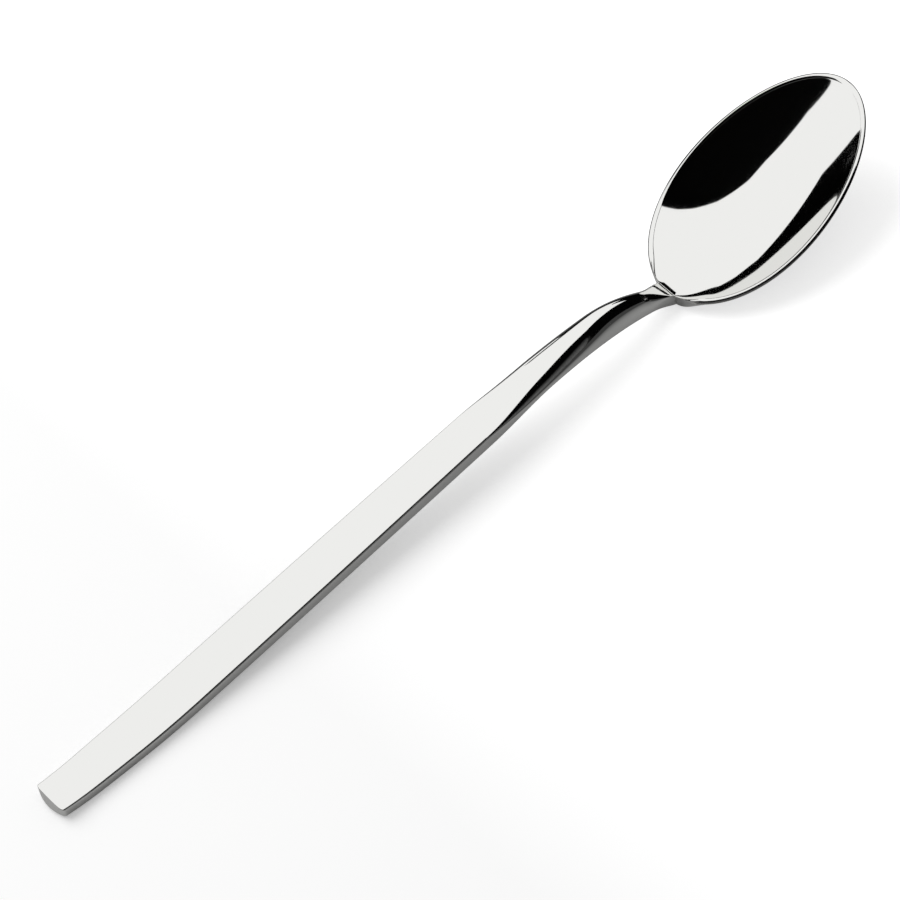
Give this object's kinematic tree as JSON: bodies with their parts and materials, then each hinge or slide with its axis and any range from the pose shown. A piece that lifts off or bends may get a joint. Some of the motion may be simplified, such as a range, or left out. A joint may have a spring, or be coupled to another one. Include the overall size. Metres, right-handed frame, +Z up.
{
  "type": "ice cream spoon",
  "caption": "Long slim ice cream spoon of polished stainless steel: a flat bar handle, a neck that narrows and deepens to a dome, and a deep oval bowl with a rounded lip.",
  "frame": {"origin": "on the table under the middle of the spoon's box, where the spoon lies as it does in the picture", "axes": "+X from the tail of the handle to the tip of the bowl, +Y to the left across the spoon, +Z up"},
  "size_m": [0.201, 0.0338, 0.0188],
  "materials": {
    "polished_steel": "stainless steel, polished to a mirror"
  },
  "bodies": {
    "root": {"handle": "polished_steel", "neck": "polished_steel", "bowl": "polished_steel"}
  },
  "joints": []
}
